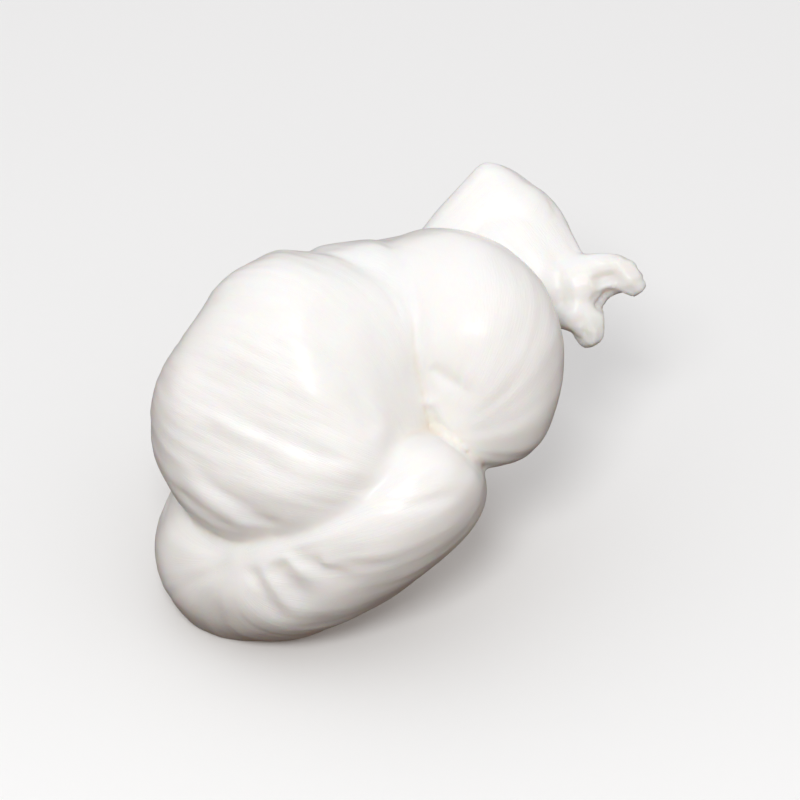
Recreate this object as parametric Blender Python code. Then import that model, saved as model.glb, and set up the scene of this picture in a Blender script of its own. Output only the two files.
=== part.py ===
"""A mozzarella knot: one thick strand of stretched curd, tied into a ball and torn off at its ends.

The turns of the strand are drawn in the knot's own face frame, in millimetres: across to the right,
up the face, and out of the face. The face is then leant back so that it looks forwards and up, as the
knot lies when it is set down. All the turns are fused into one solid with a small flat underneath.
"""

import math
from itertools import accumulate

import bmesh
import bpy
from mathutils import Matrix, Vector

MM = 0.001

FACE_ELEVATION = math.radians(35)  # how far above the horizon the knot's face looks
LIFT = 25.5  # height of the face frame's origin above the table
RING_CORNERS = 36  # corners of one ring of the strand
RINGS = 48  # rings along one turn
FINE_STEPS = 12  # steps that measure the curve between two points of a route
VOXEL = 1.0  # grain of the fused surface
SMOOTH_FACTOR = 0.5
SMOOTH_PASSES = 3
KEPT_SHARE = 0.28  # share of the fused surface's faces that the solid keeps
TABLE_SIZE = 0.2  # edge of the block that stands for the table

# Each turn of the strand: its route from end to end as (across, up, out, half width), the shares of its
# length over which its two ends round off (0.5 and 0.5 make an egg), and how flat its section is. Above 1,
# pressed makes the front of the section fuller. The crown is the ball in front, and the shoulder is its
# upper right. The over turn starts beside it and goes over the top and round the back.
# The under turn starts where those two meet, passes under the crown and comes back across behind it.
# The heart and the belly fill the knot between them. The tail and the stub are the strand's torn ends.
TURNS = {
    "crown": {
        "route": [(-21.2, 0.4, -5, 16.4), (-12, 0.9, 0, 18.9), (-1, 4, 0.5, 20.9), (6.5, 6.2, 0, 19.4),
                  (15, 6.5, -1, 17)],
        "closing": (0.45, 0.45),
        "flatness": 0.88,
        "pressed": 1.7,
    },
    "shoulder": {
        "route": [(0, 10.8, -1, 14.5), (7, 13.7, -1.2, 12.4), (14, 15.3, -2, 11.5)],
        "closing": (0.3, 0.4),
        "flatness": 1.0,
    },
    "over_turn": {
        "route": [(17.3, -3, -1, 8), (20.8, 3.2, 2.3, 9.9), (20.2, 11.8, 3, 11.6), (15.4, 17.6, 0, 9.8),
                  (5.5, 16, -11.5, 9.3), (-7, 12.5, -17, 9.5), (-13.5, 5, -19, 9), (-15.5, -2, -18, 8)],
        "closing": (0.12, 0.15),
        "flatness": 1.0,
    },
    "under_turn": {
        "route": [(15.5, -1, 4, 7), (13, -6.3, 5, 9.5), (7.6, -11, 5, 10), (0.7, -15.3, 2.5, 10.3),
                  (-7, -18.4, -2, 10.8), (-13, -17.2, -7.5, 10.7), (-13, -11.5, -15, 9.5),
                  (-8, -4, -22, 11), (2, -3, -24, 12), (13, 1, -19, 11), (20, 7, -12, 9)],
        "closing": (0.06, 0.12),
        "flatness": 1.25,
    },
    "heart": {
        "route": [(-16, 0, -8, 16), (0, 0, -9, 16), (20, 3, -8, 14)],
        "closing": (0.4, 0.4),
        "flatness": 1.0,
    },
    "belly": {
        "route": [(-14, -9, -13, 12), (0, -10, -12.5, 13), (15, -8, -11, 11.5)],
        "closing": (0.3, 0.3),
        "flatness": 1.0,
    },
    "tail": {
        "route": [(12, 14.3, -16.5, 8.3), (18.8, 21.8, -15, 8.5), (24, 27.5, -13.5, 8.7),
                  (29.3, 33.2, -12.5, 8.7)],
        "closing": (0.2, 0.14),
        "flatness": 0.45,
    },
    "tail_end": {
        "route": [(21, 29, -14, 8), (25.3, 24.8, -12.5, 8.2), (29.8, 19.4, -11, 7.2),
                  (33.5, 16, -9.5, 4.8)],
        "closing": (0.3, 0.1),
        "flatness": 0.5,
    },
    "upper_shred": {
        "route": [(32, 19, -10, 4.8), (36.8, 20.7, -9.2, 3.7), (40.5, 21, -8.3, 2.5),
                  (43.2, 18.4, -8, 1.2)],
        "closing": (0.2, 0.12),
        "flatness": 0.85,
    },
    "lower_shred": {
        "route": [(33, 17.5, -9.5, 3.8), (35.4, 14.4, -9, 2.9), (36.2, 10.8, -8.2, 1.2)],
        "closing": (0.2, 0.15),
        "flatness": 0.85,
    },
    "stub": {
        "route": [(-4, 1, -20, 8), (-8, 4, -27, 7.5), (-13, 8, -33, 6)],
        "closing": (0.3, 0.25),
        "flatness": 0.75,
    },
}


def smooth_line(route):
    """A Catmull-Rom curve through the route's points, as a fine line of points that keep their half widths."""
    knots = [Vector(point) for point in route]
    ends = [knots[0] * 2 - knots[1], *knots, knots[-1] * 2 - knots[-2]]
    fine = []
    for before, start, end, after in zip(ends, ends[1:], ends[2:], ends[3:]):
        for step in range(FINE_STEPS):
            t = step / FINE_STEPS
            rise = (end - before) * t
            bend = (before * 2 - start * 5 + end * 4 - after) * t**2
            swing = (start * 3 - before - end * 3 + after) * t**3
            fine.append(start + (rise + bend + swing) / 2)
    return [*fine, knots[-1]]


def end_rounding(share, closing):
    """How much of its full width a turn has at this share of its length: an ellipse at each end."""
    from_end = min(share / closing[0], (1 - share) / closing[1], 1)
    return math.sqrt(1 - (1 - from_end) ** 2)


def stations_of(route, closing):
    """A turn's two tips and between them its rings' centres and half widths, closer together near the tips."""
    line = smooth_line(route)
    reached = [0, *accumulate((b.xyz - a.xyz).length for a, b in zip(line, line[1:]))]
    stations = []
    here = 0
    for ring in range(1, RINGS):
        share = (1 - math.cos(math.pi * ring / RINGS)) / 2
        while reached[here + 1] < share * reached[-1]:
            here += 1
        t = (share * reached[-1] - reached[here]) / (reached[here + 1] - reached[here])
        station = line[here].lerp(line[here + 1], t)
        station.w *= end_rounding(share, closing)
        stations.append(station)
    return line[0].xyz, stations, line[-1].xyz


def add_turn(mesh, route, closing, flatness, pressed=1):
    """Lofts one turn of the strand into the mesh: rings along its route, closed by a fan at each end."""
    first_tip, stations, last_tip = stations_of(route, closing)
    side = Vector((0, 0, 1))
    rings = []
    for i, station in enumerate(stations):
        ahead = stations[min(i + 1, len(stations) - 1)].xyz - stations[max(i - 1, 0)].xyz
        across = ahead.cross(side).normalized()
        side = across.cross(ahead).normalized()
        ring = []
        for corner in range(RING_CORNERS):
            angle = math.tau * corner / RING_CORNERS
            reach = across * math.cos(angle) + side * math.sin(angle)
            front = max(reach.z, 0)
            reach.z = (reach.z - front + 1 - (1 - front) ** pressed) * flatness
            ring.append(mesh.verts.new(station.xyz + reach * station.w))
        rings.append(ring)
    for ring, further in zip(rings, rings[1:]):
        for corner in range(RING_CORNERS):
            beside = (corner + 1) % RING_CORNERS
            mesh.faces.new((ring[corner], ring[beside], further[beside], further[corner]))
    for tip, ring in ((first_tip, rings[0][::-1]), (last_tip, rings[-1])):
        pole = mesh.verts.new(tip)
        for corner in range(RING_CORNERS):
            mesh.faces.new((ring[corner], ring[(corner + 1) % RING_CORNERS], pole))


def curd_material():
    material = bpy.data.materials.new("curd")
    material.use_nodes = True
    shader = material.node_tree.nodes["Principled BSDF"]
    shader.inputs["Base Color"].default_value = (0.93, 0.90, 0.84, 1)
    shader.inputs["Roughness"].default_value = 0.35
    shader.inputs["Metallic"].default_value = 0
    return material


def table_cutter():
    """The table as a block; what it cuts off leaves the flat that the knot rests on."""
    bpy.ops.mesh.primitive_cube_add(size=TABLE_SIZE, location=(0, 0, -TABLE_SIZE / 2))
    cutter = bpy.context.object
    cutter.name = "table_cutter"
    cutter.hide_render = True
    cutter.display_type = "WIRE"
    return cutter


def build_knot():
    """All the turns as one closed solid, leant back and set down on its flat."""
    mesh = bmesh.new()
    for turn in TURNS.values():
        add_turn(mesh, **turn)
    bmesh.ops.recalc_face_normals(mesh, faces=mesh.faces)
    face_up = Matrix.Rotation(math.pi / 2 - FACE_ELEVATION, 4, "X")
    mesh.transform(Matrix.Translation((0, 0, LIFT * MM)) @ face_up @ Matrix.Scale(MM, 4))
    data = bpy.data.meshes.new("mozzarella_knot")
    mesh.to_mesh(data)
    mesh.free()
    knot = bpy.data.objects.new("mozzarella_knot", data)
    bpy.context.collection.objects.link(knot)
    data.materials.append(curd_material())

    fuse = knot.modifiers.new("fuse", "REMESH")
    fuse.mode = "VOXEL"
    fuse.voxel_size = VOXEL * MM
    fuse.use_smooth_shade = True
    soften = knot.modifiers.new("soften", "SMOOTH")
    soften.factor = SMOOTH_FACTOR
    soften.iterations = SMOOTH_PASSES
    thin_out = knot.modifiers.new("thin_out", "DECIMATE")
    thin_out.ratio = KEPT_SHARE
    flatten = knot.modifiers.new("flatten", "BOOLEAN")
    flatten.operation = "DIFFERENCE"
    flatten.object = table_cutter()


for old in list(bpy.data.objects):
    bpy.data.objects.remove(old)
build_knot()
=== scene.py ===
import math

import bpy
from mathutils import Matrix, Vector


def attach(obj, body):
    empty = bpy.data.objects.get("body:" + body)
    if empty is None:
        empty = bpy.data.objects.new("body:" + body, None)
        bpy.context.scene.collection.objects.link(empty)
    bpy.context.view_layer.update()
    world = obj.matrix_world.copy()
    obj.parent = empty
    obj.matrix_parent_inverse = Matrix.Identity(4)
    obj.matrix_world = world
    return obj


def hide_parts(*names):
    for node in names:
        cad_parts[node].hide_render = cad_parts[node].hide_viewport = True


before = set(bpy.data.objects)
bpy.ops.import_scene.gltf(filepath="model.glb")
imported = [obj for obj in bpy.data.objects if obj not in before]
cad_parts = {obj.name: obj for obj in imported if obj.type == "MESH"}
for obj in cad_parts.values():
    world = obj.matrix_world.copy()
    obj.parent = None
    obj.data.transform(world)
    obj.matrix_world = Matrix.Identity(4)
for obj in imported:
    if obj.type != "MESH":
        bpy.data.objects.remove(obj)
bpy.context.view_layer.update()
print("frame loaded")

mm = 0.001

# The knot is drawn on its own face, in millimetres: across to the right, up the face, out of the face.
# The face is then leant back and lifted on to the table, as the CAD solid is.
face = {"elevation": 35, "height": 25.5}
lean = Matrix.Rotation(math.radians(90 - face["elevation"]), 4, "X")
toTable = Matrix.Translation((0, 0, face["height"])) @ lean
acrossFace = tuple(lean @ Vector((1, 0, 0)))
upFace = tuple(lean @ Vector((0, 1, 0)))
outOfFace = tuple(lean @ Vector((0, 0, 1)))

# One entry for each turn of the strand. route: (across, up, out, half width) from end to end.
# closing: the shares of its length over which the two ends round off. flatness: 1 is round.
# pressed: above 1 the front of the turn is fuller.
# fan: the fibres run between two points, up to so many millimetres along the turn; then they follow it.
turns = {
    "crown": {
        "route": [(-21.2, 0.4, -5, 16.4), (-12, 0.9, 0, 18.9), (-1, 4, 0.5, 20.9), (6.5, 6.2, 0, 19.4),
                  (15, 6.5, -1, 17)],
        "closing": (0.45, 0.45),
        "flatness": 0.88,
        "pressed": 1.7,
        "fan": ((-24, 11, -6), (12.5, -6, 6), 500),
    },
    "shoulder": {
        "route": [(0, 10.8, -1, 14.5), (7, 13.7, -1.2, 12.4), (14, 15.3, -2, 11.5)],
        "closing": (0.3, 0.4),
        "flatness": 1.0,
        "fan": ((-24, 11, -6), (12.5, -6, 6), 500),
    },
    "overTurn": {
        "route": [(17.3, -3, -1, 8), (20.8, 3.2, 2.3, 9.9), (20.2, 11.8, 3, 11.6), (15.4, 17.6, 0, 9.8),
                  (5.5, 16, -11.5, 9.3), (-7, 12.5, -17, 9.5), (-13.5, 5, -19, 9), (-15.5, -2, -18, 8)],
        "closing": (0.12, 0.15),
        "flatness": 1.0,
        "fan": ((13.3, 1, 7), (6, 20, -14), 24),
    },
    "underTurn": {
        "route": [(15.5, -1, 4, 7), (13, -6.3, 5, 9.5), (7.6, -11, 5, 10), (0.7, -15.3, 2.5, 10.3),
                  (-7, -18.4, -2, 10.8), (-13, -17.2, -7.5, 10.7), (-13, -11.5, -15, 9.5),
                  (-8, -4, -22, 11), (2, -3, -24, 12), (13, 1, -19, 11), (20, 7, -12, 9)],
        "closing": (0.06, 0.12),
        "flatness": 1.25,
        "fan": ((-8.5, -15.4, 9), (20, -1, 2), 42),
    },
    "heart": {
        "route": [(-16, 0, -8, 16), (0, 0, -9, 16), (20, 3, -8, 14)],
        "closing": (0.4, 0.4),
        "flatness": 1.0,
    },
    "belly": {
        "route": [(-14, -9, -13, 12), (0, -10, -12.5, 13), (15, -8, -11, 11.5)],
        "closing": (0.3, 0.3),
        "flatness": 1.0,
    },
    "tail": {
        "route": [(12, 14.3, -16.5, 8.3), (18.8, 21.8, -15, 8.5), (24, 27.5, -13.5, 8.7),
                  (29.3, 33.2, -12.5, 8.7)],
        "closing": (0.2, 0.14),
        "flatness": 0.45,
    },
    "tailEnd": {
        "route": [(21, 29, -14, 8), (25.3, 24.8, -12.5, 8.2), (29.8, 19.4, -11, 7.2),
                  (33.5, 16, -9.5, 4.8)],
        "closing": (0.3, 0.1),
        "flatness": 0.5,
    },
    "upperShred": {
        "route": [(32, 19, -10, 4.8), (36.8, 20.7, -9.2, 3.7), (40.5, 21, -8.3, 2.5),
                  (43.2, 18.4, -8, 1.2)],
        "closing": (0.2, 0.12),
        "flatness": 0.85,
    },
    "lowerShred": {
        "route": [(33, 17.5, -9.5, 3.8), (35.4, 14.4, -9, 2.9), (36.2, 10.8, -8.2, 1.2)],
        "closing": (0.2, 0.15),
        "flatness": 0.85,
    },
    "stub": {
        "route": [(-4, 1, -20, 8), (-8, 4, -27, 7.5), (-13, 8, -33, 6)],
        "closing": (0.3, 0.25),
        "flatness": 0.75,
    },
}

# Folds, wrinkles and the mouth of the torn end, drawn on the face as lines of (across, up).
# depth and half width are in millimetres, and a line fades over the two given shares of its length.
folds = [
    {"line": [(-10.7, -17.8), (-9.8, -19.5), (-8.1, -22.6), (-5.1, -26)],
     "depth": 0.55, "halfWidth": 0.9, "fades": (0.2, 0.4)},
    {"line": [(-7.3, -17.2), (-5.8, -19.5), (-3.7, -21.9), (-0.4, -24.3)],
     "depth": 0.8, "halfWidth": 1.4, "fades": (0.2, 0.5)},
    {"line": [(-5.4, -16.1), (-2.7, -17.5), (0.7, -18.9), (5, -20.2)],
     "depth": 0.5, "halfWidth": 1.1, "fades": (0.2, 0.6)},
    {"line": [(0, -17.8), (5.4, -18), (11, -17)],
     "depth": 0.18, "halfWidth": 0.7, "fades": (0.4, 0.5)},
    {"line": [(4.5, -9.2), (10.9, -9.9), (20, -8)],
     "depth": 0.2, "halfWidth": 0.7, "fades": (0.4, 0.4)},
    {"line": [(-12.5, -16.5), (-15.6, -19.5), (-20, -21)],
     "depth": 0.2, "halfWidth": 0.8, "fades": (0.4, 0.5)},
    {"line": [(13.6, 8.1), (16.6, 6.2), (20.8, 3.2)],
     "depth": 0.55, "halfWidth": 0.8, "fades": (0.05, 0.7)},
    {"line": [(13.4, 3.5), (15.1, 0), (18.3, -2.6), (21.8, -6.2)],
     "depth": 0.6, "halfWidth": 0.8, "fades": (0.1, 0.05)},
    {"line": [(8.5, 21), (11, 17.5), (12.7, 12), (13.2, 7), (13.6, 3.5)],
     "depth": 0.35, "halfWidth": 1.1, "fades": (0.3, 0.05)},
    {"line": [(-15.3, 4.2), (-12.2, 1.8), (-8.8, 0), (-4.8, -1.8), (-0.3, -3.6), (4.1, -5.3)],
     "depth": 0.26, "halfWidth": 1.0, "fades": (0.2, 0.2)},
    {"line": [(-17.3, 0.8), (-12.9, -1.6), (-8.8, -3.6), (-5.8, -5.6), (-1.4, -7.3)],
     "depth": 0.24, "halfWidth": 1.1, "fades": (0.2, 0.4)},
    {"line": [(-19.7, -3.3), (-16.6, -6.3), (-13.2, -9), (-9.5, -11.4), (-5.8, -13.2)],
     "depth": 0.42, "halfWidth": 1.0, "fades": (0.3, 0.1)},
    {"line": [(-21.6, -7), (-18.7, -9.4), (-14.9, -11.7), (-11.5, -13.4)],
     "depth": 0.35, "halfWidth": 0.7, "fades": (0.3, 0.2)},
    {"line": [(-6.1, 16.1), (-2.4, 13.4), (0.7, 9.6), (3.1, 6.6), (5.1, 2.2), (6.8, -1.2)],
     "depth": 0.35, "halfWidth": 1.4, "fades": (0.6, 0.1)},
    {"line": [(35.8, 19.6), (38.3, 20.1), (40.8, 19.8)],
     "depth": 1.3, "halfWidth": 1.8, "fades": (0.35, 0.35)},
    {"line": [(38.7, 19.2), (38, 17.8), (37.1, 16.2)],
     "depth": 0.8, "halfWidth": 1.4, "fades": (0.05, 0.2)},
]

# Round places on the face: across, up, reach, share.
# In a soft one a crease is pressed almost shut, and in a torn one the skin is ragged.
softSpots = [(10.5, 20, 11, 0.7), (12.5, 26, 9, 0.9), (30, 22, 14, 1.0)]
tornSpots = [(40, 19.5, 6, 1.0), (36, 12, 4.5, 1.0)]

# How the turns are fused and what their skin looks like. Lengths are in millimetres.
skin = {
    "Ring Corners": 72,
    "Ring Gap": 0.5,
    "grain": 0.44,  # of the fused surface
    "Fold Step": 0.2,
    # painted shade: Crease Passes, Crease From and Crease To set which creases the material darkens
    "Crease Passes": 40,
    "Crease From": 0.1,  # how deep a hollow has to be, and where it counts in full
    "Crease To": 0.9,
    "Soft Passes": 300,
    "Even Passes": 6,
    "Fan Blend": 5.0,
    "Fibre Gap": 1.3,
    "Fibre Stretch": 0.05,  # noise steps for each millimetre along the fibre
    "Fibre Depth": 0.09,
    "Band Gap": 4.0,
    "Band Stretch": 0.03,
    "Band Depth": 0.12,
    "Lump Size": 13.0,
    "Lump Depth": 0.5,
    "Rag Size": 1.1,
    "Rag Depth": 0.45,
    "Foot Rounding": 0.5,
    "Seed": 7.0,
}
seedShifts = {"fibres": 0.0, "bands": 3.0, "lumps": 11.0, "rags": 17.0}
noiseSwing = 4.0  # noise strays about a quarter from its middle, which this brings to one
foldFall = -0.8  # how fast a fold flattens out to its sides

# Where things fade in, from and to; in millimetres where they are lengths
fades = {
    "facing": (0.0, 0.35),  # from edge-on to the face towards looking out of it
    "softCore": 0.3,  # share of a spot's reach
    "tornCore": 0.5,
    "softDip": (-0.4, 0.6),  # how deep a crease lies
    "fanPole": (1.0, 6.0),  # how far from the line that the fibres fan along
    "turnSeam": (1.2, 0.3),  # how far the fibres of two turns are out of step
    "noise": (0.35, 0.65),
    "threads": (0.2, 0.8),
    "crumbs": (0.4, 0.6),
}


class NodeMaker:
    # Adds nodes to a tree: give() takes sockets or plain values in the order of the node's inputs.
    def __init__(self, tree):
        self.tree = tree

    def node(self, kind, *values, **settings):
        made = self.tree.nodes.new(kind)
        for key, value in settings.items():
            setattr(made, key, value)
        for socket, value in zip([s for s in made.inputs if s.enabled], values):
            if isinstance(value, bpy.types.NodeSocket):
                self.tree.links.new(value, socket)
            elif value is not None:
                socket.default_value = value
        return made

    def give(self, kind, *values, **settings):
        return next(s for s in self.node(kind, *values, **settings).outputs if s.enabled)

    def math(self, operation, *values):
        return self.give("ShaderNodeMath", *values, operation=operation)

    def vector(self, operation, *values):
        return self.give("ShaderNodeVectorMath", *values, operation=operation)

    def scaled(self, vector, factor):
        return self.vector("SCALE", vector, factor)

    def joined(self, x, y, z):
        return self.give("ShaderNodeCombineXYZ", x, y, z)

    def named(self, name, kind="FLOAT"):
        return self.give("GeometryNodeInputNamedAttribute", name, data_type=kind)

    def store(self, geometry, name, value, kind="FLOAT"):
        return self.give("GeometryNodeStoreNamedAttribute", geometry, None, name, value, data_type=kind)

    def moved(self, geometry, position=None, offset=None):
        return self.give("GeometryNodeSetPosition", geometry, None, position, offset)

    def blurred(self, value, passes, kind="FLOAT"):
        return self.give("GeometryNodeBlurAttribute", value, passes, data_type=kind)

    def fade(self, value, start, end, low=0.0, high=1.0):
        return self.give("ShaderNodeMapRange", value, start, end, low, high,
                         interpolation_type="SMOOTHSTEP")


def newTree(name, *sockets):
    tree = bpy.data.node_groups.new(name, "GeometryNodeTree")
    tree.interface.new_socket("Geometry", in_out="INPUT", socket_type="NodeSocketGeometry")
    for label, kind in sockets:
        tree.interface.new_socket(label, in_out="INPUT", socket_type="NodeSocket" + kind)
    tree.interface.new_socket("Geometry", in_out="OUTPUT", socket_type="NodeSocketGeometry")
    maker = NodeMaker(tree)
    given = maker.node("NodeGroupInput").outputs
    return tree, maker, given


def setInputs(modifier, values):
    # by the socket's identifier, as the modifier wants it
    for socket in modifier.node_group.interface.items_tree:
        if socket.in_out == "INPUT" and socket.name in values:
            modifier[socket.identifier] = values[socket.name]


def lineMesh(name, rows, numbers, places=()):
    # Rows of points as plain lines. A point is its place and what the trees need to know on it.
    points = []
    lines = []
    for row in rows:
        lines += [(len(points) + i - 1, len(points) + i) for i in range(1, len(row))]
        points += row
    data = bpy.data.meshes.new(name)
    data.from_pydata([place for place, facts in points], lines, [])
    for key in numbers:
        values = [facts[key] for place, facts in points]
        data.attributes.new(key, "FLOAT", "POINT").data.foreach_set("value", values)
    for key in places:
        flat = [number for place, facts in points for number in facts[key]]
        data.attributes.new(key, "FLOAT_VECTOR", "POINT").data.foreach_set("vector", flat)
    return data


def routeLines():
    rows = []
    for turn in turns.values():
        fanFrom, fanTo, fanLength = turn.get("fan", ((0, 0, 0), (0, 0, 1), 0))
        facts = {
            "closeFirst": turn["closing"][0],
            "closeLast": turn["closing"][1],
            "flatness": turn["flatness"],
            "pressed": turn.get("pressed", 1),
            "fanFrom": toTable @ Vector(fanFrom),
            "fanTo": toTable @ Vector(fanTo),
            "fanLength": fanLength,
        }
        rows.append([(toTable @ Vector(place), {**facts, "halfWidth": halfWidth})
                     for *place, halfWidth in turn["route"]])
    numbers = ("halfWidth", "closeFirst", "closeLast", "flatness", "pressed", "fanLength")
    return lineMesh("routes", rows, numbers, ("fanFrom", "fanTo"))


def foldLines():
    rows = []
    for fold in folds:
        facts = {
            "depth": fold["depth"],
            "halfWidth": fold["halfWidth"],
            "fadeFirst": fold["fades"][0],
            "fadeLast": fold["fades"][1],
        }
        rows.append([((across, up, 0), facts) for across, up in fold["line"]])
    return lineMesh("folds", rows, ("depth", "halfWidth", "fadeFirst", "fadeLast"))


def smoothCurve(make, lines, step):
    curve = make.give("GeometryNodeMeshToCurve", lines)
    curve = make.give("GeometryNodeCurveSplineType", curve, spline_type="CATMULL_ROM")
    return make.give("GeometryNodeResampleCurve", curve, None, step, mode="LENGTH")


def turnsTree():
    # Every line becomes one closed turn of curd, which rounds off at both ends.
    tree, make, given = newTree("layTurns", ("Ring Corners", "Int"), ("Ring Gap", "Float"))
    curve = smoothCurve(make, given["Geometry"], given["Ring Gap"])

    place = make.node("GeometryNodeSplineParameter").outputs
    fromFirst = make.math("DIVIDE", place["Factor"], make.named("closeFirst"))
    fromLast = make.math("DIVIDE", make.math("SUBTRACT", 1.0, place["Factor"]), make.named("closeLast"))
    fromEnd = make.math("MINIMUM", make.math("MINIMUM", fromFirst, fromLast), 1.0)
    short = make.math("SUBTRACT", 1.0, fromEnd)
    rounding = make.math("SQRT", make.math("SUBTRACT", 1.0, make.math("MULTIPLY", short, short)))
    width = make.math("MAXIMUM", make.math("MULTIPLY", make.named("halfWidth"), rounding), 0.01)
    curve = make.store(curve, "width", width)
    curve = make.store(curve, "along", place["Length"])
    curve = make.store(curve, "centre", make.give("GeometryNodeInputPosition"), "FLOAT_VECTOR")

    ring = make.give("GeometryNodeCurvePrimitiveCircle", given["Ring Corners"])
    ring = make.store(ring, "round", make.give("GeometryNodeInputPosition"), "FLOAT_VECTOR")
    tube = make.give("GeometryNodeCurveToMesh", curve, ring, make.named("width"), True)

    # flatter turns are flattened towards the face, and a pressed one is fuller in front
    centre = make.named("centre", "FLOAT_VECTOR")
    reach = make.vector("SUBTRACT", make.give("GeometryNodeInputPosition"), centre)
    proud = make.vector("DOT_PRODUCT", reach, outOfFace)
    front = make.give("ShaderNodeClamp", make.math("DIVIDE", proud, make.named("width")), 0.0, 1.0)
    behind = make.math("POWER", make.math("SUBTRACT", 1.0, front), make.named("pressed"))
    fuller = make.math("SUBTRACT", make.math("SUBTRACT", 1.0, behind), front)
    fuller = make.math("MULTIPLY", fuller, make.named("width"))
    pressed = make.math("MULTIPLY", make.math("ADD", proud, fuller), make.named("flatness"))
    offset = make.scaled(outOfFace, make.math("SUBTRACT", pressed, proud))
    make.node("NodeGroupOutput", make.moved(tube, offset=offset))
    return tree


def foldsTree():
    # Smooth lines of closely set points, with the depth that the fold has at each
    tree, make, given = newTree("drawFolds", ("Fold Step", "Float"))
    curve = smoothCurve(make, given["Geometry"], given["Fold Step"])
    place = make.give("GeometryNodeSplineParameter")
    begins = make.fade(place, 0.0, make.named("fadeFirst"))
    ends = make.fade(make.math("SUBTRACT", 1.0, place), 0.0, make.named("fadeLast"))
    depth = make.math("MULTIPLY", make.named("depth"), make.math("MULTIPLY", begins, ends))
    curve = make.store(curve, "depth", depth)
    make.node("NodeGroupOutput", make.give("GeometryNodeCurveToMesh", curve))
    return tree


def nearSpots(make, flat, spots, core):
    # Each spot's share inside its core, fading out at its reach
    near = 0.0
    for across, up, reach, share in spots:
        away = make.vector("DISTANCE", flat, (across, up, 0.0))
        near = make.math("MAXIMUM", make.fade(away, reach, core * reach, 0.0, share), near)
    return near


def swing(make, noise, depth):
    # Noise about its middle, as a height of up to the depth either way
    fullDepth = make.math("MULTIPLY", depth, noiseSwing)
    return make.math("MULTIPLY", make.math("SUBTRACT", noise, 0.5), fullDepth)


def grainNoise(make, given, here, size, shift, detail, roughness):
    seed = make.math("ADD", given["Seed"], shift)
    return make.give("ShaderNodeTexNoise", here, seed, make.math("DIVIDE", 1.0, size), detail, roughness,
                     noise_dimensions="4D")


def carryOver(make, fused, strands):
    # What the turns know about themselves, for the nearest skin
    for name, kind in (("along", "FLOAT"), ("round", "FLOAT_VECTOR"), ("fanFrom", "FLOAT_VECTOR"),
                       ("fanTo", "FLOAT_VECTOR"), ("fanLength", "FLOAT"), ("halfWidth", "FLOAT")):
        value = make.named(name, kind)
        found = make.give("GeometryNodeSampleNearestSurface", strands, value, data_type=kind)
        fused = make.store(fused, name, found, kind)
    return fused


def waysOfFibres(make, given, here):
    # The two ways round: about the line that the fibres fan along, and about the turn itself.
    # past goes from the first to the second, and clear is 0 where the fan's fibres all meet.
    fanFrom = make.named("fanFrom", "FLOAT_VECTOR")
    line = make.vector("NORMALIZE", make.vector("SUBTRACT", make.named("fanTo", "FLOAT_VECTOR"), fanFrom))
    reach = make.vector("SUBTRACT", here, fanFrom)
    depth = make.vector("DOT_PRODUCT", reach, line)
    spoke = make.vector("SUBTRACT", reach, make.scaled(line, depth))
    spokeLength = make.vector("LENGTH", spoke)
    spoke = make.vector("NORMALIZE", spoke)
    side = make.vector("NORMALIZE", make.vector("CROSS_PRODUCT", line, (0.0, 0.0, 1.0)))
    top = make.vector("CROSS_PRODUCT", line, side)
    fanRound = make.joined(make.vector("DOT_PRODUCT", spoke, side),
                           make.vector("DOT_PRODUCT", spoke, top), 0.0)

    along = make.named("along")
    fanLength = make.named("fanLength")
    blend = given["Fan Blend"]
    past = make.fade(along, make.math("SUBTRACT", fanLength, blend), make.math("ADD", fanLength, blend))
    clear = make.math("MAXIMUM", make.fade(spokeLength, *fades["fanPole"]), past)
    ways = {"fanWay": (fanRound, depth), "turnWay": (make.named("round", "FLOAT_VECTOR"), along)}
    return ways, past, clear


def storeThreads(make, fused, ways, past):
    # The fine threads of the material follow the same two ways,
    # but fade where one turn ends and the next begins.
    spots = []
    for name, (way, travel) in ways.items():
        spot = make.vector("ADD", make.scaled(way, make.named("halfWidth")), make.joined(0.0, 0.0, travel))
        fused = make.store(fused, name, spot, "FLOAT_VECTOR")
        spots.append(spot)
    fused = make.store(fused, "past", past)
    spot = make.give("ShaderNodeMix", past, *spots, data_type="VECTOR")
    jump = make.vector("DISTANCE", make.blurred(spot, 2, "FLOAT_VECTOR"), spot)
    return make.store(fused, "threaded", make.blurred(make.fade(jump, *fades["turnSeam"]), 2))


def pulledLines(make, given, ways, past, kind, shift):
    # Lines that lie the gap apart and run along the fibres
    gap = given[kind + " Gap"]
    seed = make.math("ADD", given["Seed"], shift)
    values = []
    for way, travel in ways.values():
        spot = make.scaled(way, make.math("DIVIDE", make.named("halfWidth"), gap))
        travel = make.math("MULTIPLY", travel, given[kind + " Stretch"])
        spot = make.vector("ADD", spot, make.joined(0.0, 0.0, travel))
        values.append(make.give("ShaderNodeTexNoise", spot, seed, 1.0, 1.0, 0.5, noise_dimensions="4D"))
    return swing(make, make.give("ShaderNodeMix", past, *values), given[kind + " Depth"])


def foldDepth(make, drawn, flat):
    # A bell across the nearest fold, as deep as the fold is there
    nearest = make.give("GeometryNodeSampleNearest", drawn, flat)

    def ofFold(name):
        return make.give("GeometryNodeSampleIndex", drawn, make.named(name), nearest)

    away = make.node("GeometryNodeProximity", drawn, None, flat, target_element="EDGES").outputs["Distance"]
    away = make.math("DIVIDE", away, ofFold("halfWidth"))
    bell = make.math("EXPONENT", make.math("MULTIPLY", make.math("MULTIPLY", away, away), foldFall))
    return make.math("MULTIPLY", bell, ofFold("depth"))


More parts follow.
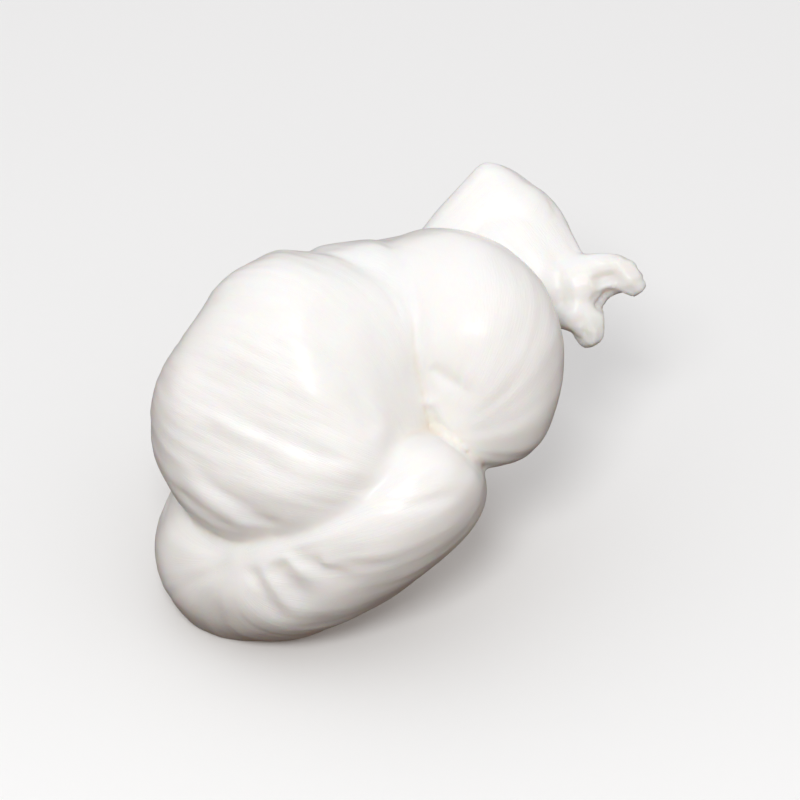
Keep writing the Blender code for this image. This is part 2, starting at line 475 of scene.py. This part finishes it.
def skinTree():
    # Softens the fused turns and draws fibres, folds, slack lumps and the torn end into their skin.
    tree, make, given = newTree(
        "finishSkin",
        ("Strands", "Object"), ("Folds", "Object"), ("Material", "Material"),
        ("Crease Passes", "Int"), ("Soft Passes", "Int"), ("Even Passes", "Int"),
        ("Crease From", "Float"), ("Crease To", "Float"), ("Fan Blend", "Float"),
        ("Fibre Gap", "Float"), ("Fibre Stretch", "Float"), ("Fibre Depth", "Float"),
        ("Band Gap", "Float"), ("Band Stretch", "Float"), ("Band Depth", "Float"),
        ("Lump Size", "Float"), ("Lump Depth", "Float"), ("Rag Size", "Float"), ("Rag Depth", "Float"),
        ("Foot Rounding", "Float"), ("Seed", "Float"))
    strands = make.node("GeometryNodeObjectInfo", given["Strands"]).outputs["Geometry"]
    drawn = make.node("GeometryNodeObjectInfo", given["Folds"]).outputs["Geometry"]
    here = make.give("GeometryNodeInputPosition")
    normal = make.give("GeometryNodeInputNormal")
    fused = carryOver(make, given["Geometry"], strands)

    # the place on the face, and whether the skin looks out of it
    onFace = make.vector("SUBTRACT", here, tuple(toTable.translation))
    flat = make.joined(make.vector("DOT_PRODUCT", onFace, acrossFace),
                       make.vector("DOT_PRODUCT", onFace, upFace), 0.0)
    facing = make.fade(make.vector("DOT_PRODUCT", normal, outOfFace), *fades["facing"])

    # even out the grain of the fused surface, then press the soft creases almost shut
    fused = make.moved(fused, make.blurred(here, given["Even Passes"], "FLOAT_VECTOR"))
    soft = make.math("MULTIPLY", nearSpots(make, flat, softSpots, fades["softCore"]), facing)
    wider = make.blurred(here, given["Soft Passes"], "FLOAT_VECTOR")
    dip = make.vector("DOT_PRODUCT", normal, make.vector("SUBTRACT", wider, here))
    filled = make.math("MULTIPLY", make.fade(dip, *fades["softDip"]), soft)
    fused = make.moved(fused, make.give("ShaderNodeMix", filled, here, wider, data_type="VECTOR"))

    # how deep in a crease the skin lies, which the material uses to paint warm shade into the creases
    wide = make.blurred(here, given["Crease Passes"], "FLOAT_VECTOR")
    hollowShade = make.vector("DOT_PRODUCT", normal, make.vector("SUBTRACT", wide, here))
    fused = make.store(fused, "crease", make.fade(hollowShade, given["Crease From"], given["Crease To"]))

    # pulled fibres
    ways, past, clear = waysOfFibres(make, given, here)
    fused = storeThreads(make, fused, ways, past)
    fibres = pulledLines(make, given, ways, past, "Fibre", seedShifts["fibres"])
    bands = pulledLines(make, given, ways, past, "Band", seedShifts["bands"])
    relief = make.math("MULTIPLY", make.math("ADD", fibres, bands), clear)

    # slack lumps
    lumps = grainNoise(make, given, here, given["Lump Size"], seedShifts["lumps"], 1.0, 0.5)
    relief = make.math("ADD", relief, swing(make, lumps, given["Lump Depth"]))

    # crumbs and torn threads where the strand was pulled off
    torn = nearSpots(make, flat, tornSpots, fades["tornCore"])
    rags = grainNoise(make, given, here, given["Rag Size"], seedShifts["rags"], 2.0, 0.6)
    relief = make.math("ADD", relief, make.math("MULTIPLY", swing(make, rags, given["Rag Depth"]), torn))
    fused = make.store(fused, "torn", torn)

    # the drawn folds, on the side of the face alone
    fold = make.math("MULTIPLY", foldDepth(make, drawn, flat), facing)
    fused = make.store(fused, "relief", make.math("SUBTRACT", relief, fold))
    relief = make.blurred(make.named("relief"), 1)
    fused = make.moved(fused, offset=make.scaled(normal, relief))

    # it stands on the table
    spot = make.node("ShaderNodeSeparateXYZ", here).outputs
    stands = make.math("SMOOTH_MAX", spot["Z"], 0.0, given["Foot Rounding"])
    fused = make.moved(fused, make.joined(spot["X"], spot["Y"], stands))

    fused = make.give("GeometryNodeSetShadeSmooth", fused)
    fused = make.give("GeometryNodeRealizeInstances", fused)
    fused = make.give("GeometryNodeSetMaterial", fused, None, given["Material"])
    make.node("NodeGroupOutput", fused)
    return tree


def baked(owner, name):
    mesh = bpy.data.meshes.new_from_object(owner.evaluated_get(bpy.context.evaluated_depsgraph_get()))
    mesh.name = name
    owner.modifiers.clear()
    owner.data = mesh
    return mesh


def grown(name, data, treeName, tree, **values):
    # The lines, turned into a mesh by their tree
    holder = bpy.data.objects.new(name, data)
    bpy.context.collection.objects.link(holder)
    modifier = holder.modifiers.new(treeName, "NODES")
    modifier.node_group = tree
    setInputs(modifier, {**skin, **values})
    baked(holder, name)
    return holder


def buildKnot(material):
    strands = grown("strands", routeLines(), "layTurns", turnsTree())
    print("turns laid:", len(strands.data.polygons), "faces")
    drawn = grown("folds", foldLines(), "drawFolds", foldsTree())
    print("folds drawn:", len(folds))

    knot = bpy.data.objects.new("mozzarellaKnot", strands.data.copy())
    bpy.context.collection.objects.link(knot)
    fusing = knot.modifiers.new("fuse", "REMESH")
    fusing.mode = "VOXEL"
    fusing.voxel_size = skin["grain"]
    finishing = knot.modifiers.new("finishSkin", "NODES")
    finishing.node_group = skinTree()
    setInputs(finishing, {**skin, "Strands": strands, "Folds": drawn, "Material": material})
    mesh = baked(knot, "mozzarellaKnot")
    mesh.transform(Matrix.Scale(mm, 4))
    bpy.data.objects.remove(strands)
    bpy.data.objects.remove(drawn)
    print("knot fused:", len(mesh.polygons), "faces")
    return knot


# The curd itself. Sizes and depths are in millimetres, colours are linear, and a pair is low and high.
curd = {
    "white": (0.945, 0.937, 0.922),
    "cream": (0.935, 0.915, 0.885),
    # painted shade: the warm tan that the creases are darkened towards
    "hollowShade": (0.88, 0.8, 0.67),
    "hollowShadeOnThreads": (0.7, 1.0),
    "torn": (0.8, 0.785, 0.755),
    "tornOnCrumbs": (0.2, 1.0),
    "crumbSize": 1.2,
    "cloudSize": 9,
    "moistSize": 5,
    "moistOnThreads": 0.3,  # share of the moist patches that follows the threads
    "roughness": (0.34, 0.5),
    "poreSize": 0.9,
    "poreDepth": 0.03,
    "threadGap": 0.45,
    "threadStretch": 0.04,
    "threadDepth": 0.035,
    "shader": {
        "IOR": 1.38,
        "Subsurface Weight": 0.6,
        "Subsurface Radius": (1.0, 0.65, 0.4),
        "Subsurface Scale": 0.003,
        "Coat Weight": 0.3,
        "Coat Roughness": 0.22,
        "Coat IOR": 1.34,
    },
}


def curdMaterial():
    look = bpy.data.materials.new("curd")
    look.use_nodes = True
    link = look.node_tree.links.new
    shader = look.node_tree.nodes["Principled BSDF"]
    make = NodeMaker(look.node_tree)
    place = make.node("ShaderNodeTexCoord").outputs["Object"]

    def attribute(name, output="Fac"):
        return make.node("ShaderNodeAttribute", attribute_name=name).outputs[output]

    def grain(size, detail):
        return make.give("ShaderNodeTexNoise", place, None, 1 / (size * mm), detail, 0.5,
                         noise_dimensions="3D")

    def tinted(share, under, colour):
        return make.give("ShaderNodeMix", share, under, (*colour, 1), data_type="RGBA")

    # fine threads along the pulled fibres
    across = 1 / curd["threadGap"]
    stretched = (across, across, across * curd["threadStretch"])
    ways = []
    for name in ("fanWay", "turnWay"):
        spot = make.vector("MULTIPLY", attribute(name, "Vector"), stretched)
        ways.append(make.give("ShaderNodeTexNoise", spot, None, 1.0, 2.0, 0.6, noise_dimensions="3D"))
    threads = make.give("ShaderNodeMix", attribute("past"), *ways)
    threads = make.give("ShaderNodeMix", attribute("threaded"), 0.5, threads)

    # clouds of cream in the white, painted warm shade in the creases, and greyer crumbs at the torn end
    clouds = make.fade(grain(curd["cloudSize"], 2.0), *fades["noise"])
    tone = tinted(clouds, (*curd["white"], 1), curd["cream"])
    # painted shade: the creases are darkened towards a warm tan, broken up by the threads
    broken = make.fade(threads, *fades["threads"], *curd["hollowShadeOnThreads"])
    tone = tinted(make.math("MULTIPLY", attribute("crease"), broken), tone, curd["hollowShade"])
    crumbs = make.fade(grain(curd["crumbSize"], 3.0), *fades["crumbs"], *curd["tornOnCrumbs"])
    tone = tinted(make.math("MULTIPLY", attribute("torn"), crumbs), tone, curd["torn"])
    link(tone, shader.inputs["Base Color"])

    # moist patches are smoother than the dry ones between them
    onThreads = curd["moistOnThreads"]
    moist = make.math("ADD", make.math("MULTIPLY", grain(curd["moistSize"], 3.0), 1 - onThreads),
                      make.math("MULTIPLY", threads, onThreads))
    link(make.fade(moist, *fades["noise"], *curd["roughness"]), shader.inputs["Roughness"])

    # threads and pores as fine relief
    pores = make.math("MULTIPLY", grain(curd["poreSize"], 3.0), curd["poreDepth"])
    height = make.math("ADD", make.math("MULTIPLY", threads, curd["threadDepth"]), pores)
    link(make.give("ShaderNodeBump", 1.0, mm, None, height), shader.inputs["Normal"])

    for name, value in curd["shader"].items():
        shader.inputs[name].default_value = value
    return look


# Soft light from a big pale dome, one lamp and a plain table. Lengths are in metres.
studio = {
    # the dome's colours by height, from straight down at -1 to straight up at 1
    "sky": [(-0.1, (0.05, 0.025, 0.012)), (0.08, (0.6, 0.48, 0.37)), (0.3, (0.93, 0.92, 0.93)),
            (1, (0.57, 0.575, 0.59))],
    "backdrop": (0.85, 0.85, 0.84),
    "lamp": {"place": (-0.06, -0.48, 0.52), "towards": (0.009, 0.005, 0.025), "size": 0.2, "power": 2.0},
    "table": {"reach": 3, "colour": (0.93, 0.93, 0.92), "roughness": 0.6},
}


def setDome():
    world = bpy.data.worlds.new("studio")
    world.use_nodes = True
    make = NodeMaker(world.node_tree)
    outward = make.node("ShaderNodeTexCoord").outputs["Generated"]
    height = make.node("ShaderNodeSeparateXYZ", outward).outputs["Z"]
    ramp = make.node("ShaderNodeValToRGB", make.math("MULTIPLY_ADD", height, 0.5, 0.5))
    ramp.color_ramp.interpolation = "EASE"
    while len(ramp.color_ramp.elements) < len(studio["sky"]):
        ramp.color_ramp.elements.new(0.5)
    for stop, (level, colour) in zip(ramp.color_ramp.elements, studio["sky"]):
        stop.position = 0.5 + 0.5 * level
        stop.color = (*colour, 1)
    # the camera sees a plain pale backdrop instead
    seen = make.node("ShaderNodeLightPath").outputs["Is Camera Ray"]
    shade = make.give("ShaderNodeMix", seen, ramp.outputs["Color"], (*studio["backdrop"], 1),
                      data_type="RGBA")
    world.node_tree.links.new(shade, world.node_tree.nodes["Background"].inputs["Color"])
    bpy.context.scene.world = world


def setLamp():
    lamp = studio["lamp"]
    data = bpy.data.lights.new("key", "AREA")
    data.shape = "DISK"
    data.size = lamp["size"]
    data.energy = lamp["power"]
    holder = bpy.data.objects.new("key", data)
    holder.location = lamp["place"]
    aim = Vector(lamp["towards"]) - Vector(lamp["place"])
    holder.rotation_euler = aim.to_track_quat("-Z", "Y").to_euler()
    bpy.context.collection.objects.link(holder)


def setTable():
    table = studio["table"]
    reach = table["reach"]
    corners = [(-reach, -reach, 0), (reach, -reach, 0), (reach, reach, 0), (-reach, reach, 0)]
    data = bpy.data.meshes.new("table")
    data.from_pydata(corners, [], [(0, 1, 2, 3)])
    top = bpy.data.objects.new("table", data)
    bpy.context.collection.objects.link(top)
    paint = bpy.data.materials.new("table")
    paint.use_nodes = True
    shader = paint.node_tree.nodes["Principled BSDF"]
    shader.inputs["Base Color"].default_value = (*table["colour"], 1)
    shader.inputs["Roughness"].default_value = table["roughness"]
    data.materials.append(paint)
    # it throws no light back on to the knot
    top.visible_diffuse = False
    top.visible_glossy = False


# In metres and degrees
view = {"lens": 200, "elevation": 35, "distance": 0.603, "target": (0.00977, 0.00222, 0.02867)}


def setCamera():
    data = bpy.data.cameras.new("camera")
    data.lens = view["lens"]
    camera = bpy.data.objects.new("camera", data)
    bpy.context.collection.objects.link(camera)
    angle = math.radians(view["elevation"])
    away = Vector((0, -math.cos(angle), math.sin(angle))) * view["distance"]
    camera.location = Vector(view["target"]) + away
    camera.rotation_euler = (math.radians(90) - angle, 0, 0)
    bpy.context.scene.camera = camera


knot = buildKnot(curdMaterial())
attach(knot, "root")
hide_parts("mozzarella_knot")
print("knot in place")

bpy.context.scene.view_settings.view_transform = "Standard"
setDome()
setLamp()
setTable()
setCamera()
print("studio set")
